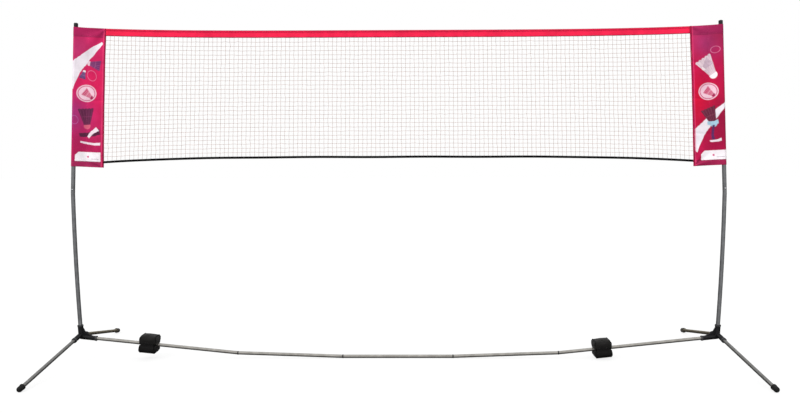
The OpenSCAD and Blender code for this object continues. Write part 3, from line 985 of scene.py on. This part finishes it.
def make_sleeve(side, cloth, binding_cloth, thread):
    sleeve = Sleeve(side)
    section_u, section_y = sleeve.loop()
    rows = round(sleeve.height / SLEEVE_STEP) + 1
    u, v = np.meshgrid(section_u, np.linspace(0, sleeve.height, rows))
    y = np.broadcast_to(section_y[None], u.shape)
    stand_out = np.sign(y) * sleeve.hem(v) * step(0, PANEL_HALF, np.abs(y))
    points = sleeve.place(u, v, y + stand_out + sleeve.folds(u, v)).reshape(-1, 3)
    around = np.concatenate([[0], np.cumsum(np.hypot(np.diff(section_u), np.diff(section_y)))])
    uv = listed(around[None], v)
    faces = grid_faces(rows, len(section_u), closed=True)
    piece = add_piece(
        f"sleeve_cloth_{side}", points, faces, cloth, "net", uv, SLEEVE_CLOTH, [sleeve.node],
    )
    colours = np.ones((u.size, 4), np.float32)
    colours[:, :3] = sleeve.art(u.ravel(), v.ravel())
    attribute = piece.data.attributes.new("print", "FLOAT_COLOR", "POINT")
    attribute.data.foreach_set("color", colours.ravel())
    binding = make_binding(sleeve, rows, binding_cloth)
    stitching = stitch_sleeve(sleeve, thread)


def make_sleeves():
    cloth = woven("printed_polyester", None, 0.8 * MM, 0.55, 0.06, 0.25, 0.88, attribute="print")
    binding = woven("binding_tape", "#ad1448", 1.0 * MM, 0.6, 0.08, 0.5, 0.75)
    thread = hard_finish("sleeve_thread", "#d8658e", "#a93262", 0.6, EVEN, bump=0.4)
    for side in SIDES:
        make_sleeve(side, cloth, binding, thread)


# ---------- Weights ----------

PAD_INSET = 2.2 * MM          # the pad starts smaller and swells to its size
PAD_CAP = 3.2 * MM            # the most that a point may move
PAD_CORNER = 12 * MM
VOXEL = 4 * MM
PIPING = 2.2 * MM
CHANNEL = 8.9 * MM            # radius of the channel that wraps the bar
RIM_COUNT = 16                # points of a pad's outline that aren't on the channel
SEAM_WIDTH = 7 * MM           # how far from a seam the pad is held in
SIM_FRAMES = 20
PRESSURE = 4
# How much a pad is drawn in, as a share of its size.
CREASE_DRAW = 0.1
FAR_DRAW = 0.2
FRONT_DRAW = 0.09


def pad_outline(half, height, corner):
    """Half a weight's cross-section above the bar, as (y, z) points round it."""
    right = [(half - corner + corner * math.cos(a), height - corner + corner * math.sin(a))
             for a in np.radians(np.arange(0, 91, 15))]
    channel = [(-CHANNEL * math.cos(a), CHANNEL * math.sin(a)) for a in np.radians(np.arange(0, 181, 20))]
    base = 0.6 * MM
    outline = [(half, base), *right, *[(-y, z) for y, z in reversed(right)], (-half, base), *channel]
    return np.array([(y, max(z, base)) for y, z in outline])


def prism(outline, half_length):
    """An outline in Y and Z, drawn out along X."""
    count = len(outline)
    points = [(x, y, z) for x in (-half_length, half_length) for y, z in outline]
    faces = [(i, (i + 1) % count, count + (i + 1) % count, count + i) for i in range(count)]
    faces += [tuple(range(count)), tuple(range(count, 2 * count))]
    return points, faces


def evaluated_copy(obj):
    graph = bpy.context.evaluated_depsgraph_get()
    return bpy.data.meshes.new_from_object(obj.evaluated_get(graph))


def plain_mesh(name, points, faces):
    mesh = bpy.data.meshes.new(name)
    mesh.from_pydata(np.asarray(points, float).tolist(), [], faces)
    bm = bmesh.new()
    bm.from_mesh(mesh)
    bmesh.ops.recalc_face_normals(bm, faces=bm.faces)
    bm.to_mesh(mesh)
    bm.free()
    return mesh


def blown_up(pad, start):
    """How far a pad's points move from their start when cloth simulation blows the pad up."""
    cloth = pad.modifiers.new("cloth", "CLOTH")
    cloth.settings.use_pressure = True
    cloth.settings.uniform_pressure_force = PRESSURE
    cloth.settings.effector_weights.gravity = 0
    scene = bpy.context.scene
    for number in range(1, SIM_FRAMES + 1):
        scene.frame_set(number)
    result = evaluated_copy(pad)
    scene.frame_set(1)
    pad.modifiers.clear()
    return np.array([v.co for v in result.vertices]) - start


def swollen(points, faces, seams):
    """A padded mesh: remeshed, blown up, held at its seams and clear of the bar, and smoothed."""
    pad = add_object("pad_start", plain_mesh("pad_start", points, faces))
    remesh = pad.modifiers.new("remesh", "REMESH")
    remesh.mode = "VOXEL"
    remesh.voxel_size = VOXEL
    pad.data = evaluated_copy(pad)
    pad.modifiers.clear()
    start = np.array([v.co for v in pad.data.vertices])
    moved = blown_up(pad, start)
    far = np.linalg.norm(moved, axis=1)
    moved *= np.minimum(1, PAD_CAP / np.maximum(far, 1e-9))[:, None]
    gap = np.linalg.norm(start[:, None] - seams[None], axis=2).min(axis=1)
    moved *= (1 - 0.95 * bell(gap, SEAM_WIDTH))[:, None]
    from_bar = np.hypot(start[:, 1], start[:, 2])
    moved *= step(CHANNEL + 1 * MM, CHANNEL + 8 * MM, from_bar)[:, None]
    final = start + moved
    final[:, 2] = np.maximum(final[:, 2], 0.3 * MM)
    pad.data.vertices.foreach_set("co", final.ravel())
    subdivide = pad.modifiers.new("smooth", "SUBSURF")
    subdivide.levels = 1
    subdivide.render_levels = 1
    result = evaluated_copy(pad)
    bpy.data.objects.remove(pad)
    return result


def shaped(points, height):
    """Draws a pad in at the crease between the halves and at its far edge, and leaves its middle full."""
    points = np.array(points, float)
    share = np.clip(points[:, 2] / height, 0, 1)
    full = 1 - CREASE_DRAW * (1 - share) ** 3 - FAR_DRAW * step(0.5, 1.0, share)
    middle = 1 - FRONT_DRAW * bell(share, 0.16) * (points[:, 1] < 0)
    from_bar = np.hypot(points[:, 1], points[:, 2])
    points[:, 0] *= full
    points[:, 1] *= 1 + (middle - 1) * step(CHANNEL + 2 * MM, CHANNEL + 12 * MM, from_bar)
    return points


def put_piece(name, mesh, place, material, body, replaces=()):
    """A piece from a copy of a mesh that was made at the bar's axis, put in place along the bar."""
    mesh = mesh.copy()
    mesh.transform(place)
    return show(name, mesh, material, body, replaces)


def half_weight(upper, half_length, half_width, height):
    """One half's pad mesh, piping mesh and search tree of its surface, at the bar's axis."""
    inset_outline = pad_outline(half_width - PAD_INSET, height - PAD_INSET, PAD_CORNER)
    points, faces = prism(inset_outline, half_length - PAD_INSET)
    ends = (half_length - PAD_INSET, PAD_INSET - half_length)
    rim = inset_outline[:RIM_COUNT]
    seams = np.array([(x, y, z) for x in ends for y, z in rim])
    pad = swollen(points, faces, seams)
    corners = shaped([v.co for v in pad.vertices], height)
    pad.vertices.foreach_set("co", corners.ravel())
    skin = BVHTree.FromPolygons(corners.tolist(), [list(face.vertices) for face in pad.polygons])
    loops = []
    for x in ends:
        path = shaped([(x, y, z) for y, z in rim], height)
        path = np.array([skin.find_nearest(Vector(point))[0] for point in path])
        path = resampled(np.linspace(0, len(path) - 1, 4 * len(path)), np.arange(len(path)), path)
        loops.append(tube_mesh(path, PIPING, 8, (1, 0, 0)))
    piping_points, piping_faces = joined(loops)
    piping = plain_mesh("piping", piping_points, piping_faces)
    for mesh in (pad, piping):
        if not upper:
            mesh.transform(Matrix.Diagonal((1, 1, -1, 1)))
            mesh.flip_normals()
        box_uv(mesh)
    skin = BVHTree.FromPolygons([v.co for v in pad.vertices], [list(face.vertices) for face in pad.polygons])
    return pad, piping, skin


def lie_on_pads(skins, x, z, way, crease, thickness):
    """Y of a strip of cloth at a grid of x and z, on the pads' fronts if way is 1 or backs if it is -1.

    crease is how far in the strip may go where the pads meet.
    """
    far = 0.2
    deep = np.empty(x.shape)
    for place in np.ndindex(*x.shape):
        skin = skins["upper"] if z[place] > 0 else skins["lower"]
        hit = skin.ray_cast(Vector((x[place], -way * far, z[place])), Vector((0, way, 0)))[0]
        deep[place] = way * hit.y if hit else far
    deep = np.minimum(deep, crease)
    soft = deep.copy()
    for _ in range(3):
        padded = np.pad(soft, ((1, 1), (0, 0)), mode="edge")
        soft = (padded[:-2] + 2 * soft + padded[2:]) / 4
    return way * (np.minimum(soft, deep) - thickness)


def make_weights():
    nylon = woven("pad_nylon", "#1c1b1a", 1.2 * MM, 0.6, 0.05, 0.7, 0.6)
    # Painted shade: the lower pad's nylon is a darker copy of the upper pad's.
    shaded_low_nylon = woven("low_pad_nylon_painted_shade", "#121111", 1.2 * MM, 0.6, 0.05, 0.7, 0.6)
    edge = woven("pad_binding", "#070707", 1.0 * MM, 0.6, 0.03, 0.5, 0.6)
    webbing = woven("flap_webbing", "#151414", 1.8 * MM, 0.6, 0.05, 0.9, 0.5)
    thread = hard_finish("weight_thread", "#303033", "#1c1c1e", 0.6, EVEN, bump=0.4)
    halves = {}
    for side, sign in SIDES.items():
        low, high = tube_ends(f"bar_end_{side}")
        along = unit(high - low) * sign
        upward = np.cross(along, BACK)
        pads = {"upper": f"weight_upper_pad_{side}", "lower": f"weight_lower_pad_{side}"}
        left_x, right_x = reach(pads["upper"], low, along)
        half_length = (right_x - left_x) / 2
        centre = low + along * (left_x + right_x) / 2
        half_width = reach(pads["upper"], centre, BACK)[1]
        place = Matrix.Translation(centre) @ Matrix((along, BACK, upward)).transposed().to_4x4()
        bodies = {"upper": f"weight_lid_{side}", "lower": f"weight_{side}"}
        for half, node in pads.items():
            upper = half == "upper"
            low_z, high_z = reach(node, centre, upward)
            height = high_z if upper else -low_z
            if half not in halves:
                halves[half] = half_weight(upper, half_length, half_width, height)
            cover, piping, _ = halves[half]
            cloth = nylon if upper else shaded_low_nylon
            slot, body = "weight_nylon", bodies[half]
            pad = put_piece(f"weight_{half}_cover_{side}", cover, place, cloth, body, [node])
            put_piece(f"weight_{half}_piping_{side}", piping, place, edge, body)
        skins = {half: skin for half, (_, _, skin) in halves.items()}
        make_flap(side, place, centre, along, upward, skins, webbing, thread)
        make_hinge_strip(side, place, half_length, half_width, skins, edge)


FLAP_CLOTH = 1.5 * MM
FLAP_GRID = (17, 27)          # rows and columns
FLAP_SEWN = 2 * MM            # the flap is loose below this height
HINGE_CLOTH = 0.9 * MM
HINGE_GRID = (13, 30)
HINGE_REACH = 9 * MM          # above and below the hinge
HINGE_END = 8 * MM            # from the strip's end to the pad's
CLEAR = 0.2 * MM              # between cloth and what it lies on


def strip_mesh(x, y, z, facing):
    """A grid of cloth. facing is 1 or -1, as its normals point to the back or to the front."""
    mesh = bpy.data.meshes.new("strip")
    mesh.from_pydata(listed(x, y, z).tolist(), [], grid_faces(*x.shape))
    if mesh.polygons[0].normal.y * facing < 0:
        mesh.flip_normals()
    box_uv(mesh)
    return mesh


def make_flap(side, place, centre, along, upward, skins, webbing, thread):
    """The closing flap on the front: sewn to the upper pad, loose over the lower one."""
    node = f"weight_flap_{side}"
    lid = f"weight_lid_{side}"
    low_x, high_x = reach(node, centre, along)
    low_z, high_z = reach(node, centre, upward)
    front = reach(node, centre, BACK)[0]
    half = (high_x - low_x) / 2
    rows, columns = FLAP_GRID
    x, z = np.meshgrid(np.linspace(-half, half, columns), np.linspace(high_z, low_z, rows))
    free = np.clip((FLAP_SEWN - z) / (FLAP_SEWN - low_z), 0, 1)
    curl = free * (x / half) ** 4
    y = lie_on_pads(skins, x, z, 1, front + 6 * MM, FLAP_CLOTH + CLEAR) - 0.8 * MM * curl
    z = z + 1.2 * MM * curl
    mesh = strip_mesh(x, y, z, -1)
    flap = put_piece(f"weight_flap_webbing_{side}", mesh, place, webbing, lid, [node])
    thicken(flap, FLAP_CLOTH)
    grid = np.stack([x, y, z], axis=2)
    lines = [stitch_line(grid[row, 2:-2], (0, -1, 0)) for row in (2, 4)]
    lines += [stitch_line(grid[2:-2, column], (0, -1, 0)) for column in (2, columns - 3)]
    mesh = plain_mesh("stitching", *joined(lines))
    stitching = put_piece(f"weight_stitching_{side}", mesh, place, thread, lid)


def make_hinge_strip(side, place, half_length, half_width, skins, cloth):
    """A strip of binding down the back, which joins the two pads."""
    rows, columns = HINGE_GRID
    half = half_length - HINGE_END
    x, z = np.meshgrid(np.linspace(-half, half, columns), np.linspace(-HINGE_REACH, HINGE_REACH, rows))
    y = lie_on_pads(skins, x, z, -1, 3 * MM - half_width, HINGE_CLOTH + CLEAR)
    name = f"weight_hinge_{side}"
    strip = put_piece(name, strip_mesh(x, y, z, 1), place, cloth, None)
    thicken(strip, HINGE_CLOTH)
    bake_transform(strip)


make_camera()
make_studio()
paint_hard_parts()
make_net()
make_tape()
make_bottom_cord()
make_sleeves()
make_weights()
